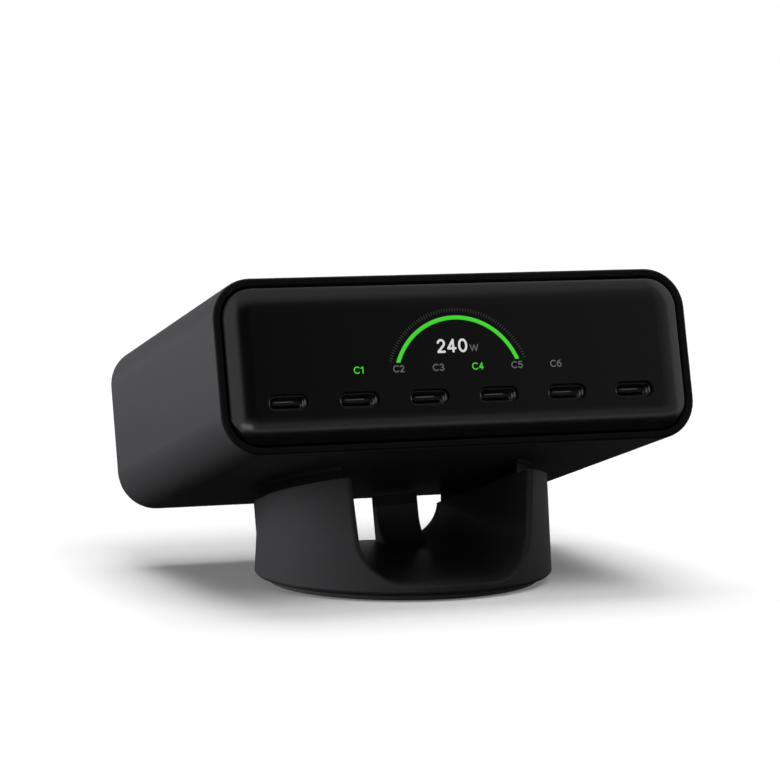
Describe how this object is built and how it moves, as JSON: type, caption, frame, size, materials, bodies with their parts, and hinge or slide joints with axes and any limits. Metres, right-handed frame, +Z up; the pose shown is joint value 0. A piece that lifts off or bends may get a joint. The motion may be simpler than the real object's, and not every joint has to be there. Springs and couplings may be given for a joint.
{
  "type": "multi port usb desktop charger",
  "caption": "Desktop charger with a row of USB-C ports and a power display in a glossy front, leaning back on a round open stand.",
  "frame": {"origin": "centre of the round foot's lower face, on the desk", "axes": "+X to the right seen from the front, along the width; +Y to the rear; +Z up"},
  "size_m": [0.112, 0.0942, 0.0731],
  "materials": {
    "housing_plastic": "fine satin, dark grey moulded polycarbonate",
    "panel_gloss": "polished black",
    "inlet_plastic": "black moulded nylon",
    "nickel_blade": "nickel-plated brass",
    "port_steel": "dark nickel-plated drawn steel",
    "port_insert": "black liquid crystal polymer",
    "stand_plastic": "satin black moulded ABS",
    "silicone": "matt black silicone",
    "board_laminate": "green solder mask on glass laminate",
    "display_glass": "black display glass",
    "ribbon_film": "amber polyimide film",
    "sheet_aluminium": "rolled sheet",
    "thermal_silicone": "grey filled silicone",
    "insulating_film": "white polyester film",
    "ferrite": "sintered, dull",
    "copper_winding": "enamelled copper wire",
    "capacitor_can": "sleeved can",
    "film_case": "moulded epoxy case",
    "fuse_glass": "glass tube with metal caps"
  },
  "bodies": {
    "root": {"bridge_rectifier": "film_case", "bulk_capacitor_1": "capacitor_can", "bulk_capacitor_2": "capacitor_can", "bulk_capacitor_3": "capacitor_can", "common_mode_choke": "copper_winding", "display_module": "display_glass", "display_ribbon": "ribbon_film", "film_capacitor": "film_case", "foot_pad": "silicone", "front_panel": "panel_gloss", "heat_spreader_lower": "sheet_aluminium", "heat_spreader_upper": "sheet_aluminium", "housing_sleeve": "housing_plastic", "inlet_blades": "nickel_blade", "insulating_sheet": "insulating_film", "main_board": "board_laminate", "mains_fuse": "fuse_glass", "mains_inlet": "inlet_plastic", "output_capacitor_1": "capacitor_can", "output_capacitor_2": "capacitor_can", "output_capacitor_3": "capacitor_can", "output_capacitor_4": "capacitor_can", "output_capacitor_5": "capacitor_can", "output_capacitor_6": "capacitor_can", "output_inductor_1": "ferrite", "output_inductor_2": "ferrite", "output_inductor_3": "ferrite", "output_inductor_4": "ferrite", "output_inductor_5": "ferrite", "output_inductor_6": "ferrite", "pfc_inductor_core": "ferrite", "pfc_inductor_winding": "copper_winding", "rear_cover": "housing_plastic", "seat_pad_left": "silicone", "seat_pad_right": "silicone", "stand_body": "stand_plastic", "thermal_pad_lower": "thermal_silicone", "thermal_pad_upper": "thermal_silicone", "transformer_core": "ferrite", "transformer_winding": "copper_winding", "usb_shell_1": "port_steel", "usb_shell_2": "port_steel", "usb_shell_3": "port_steel", "usb_shell_4": "port_steel", "usb_shell_5": "port_steel", "usb_shell_6": "port_steel", "usb_tongue_1": "port_insert", "usb_tongue_2": "port_insert", "usb_tongue_3": "port_insert", "usb_tongue_4": "port_insert", "usb_tongue_5": "port_insert", "usb_tongue_6": "port_insert"}
  },
  "joints": []
}
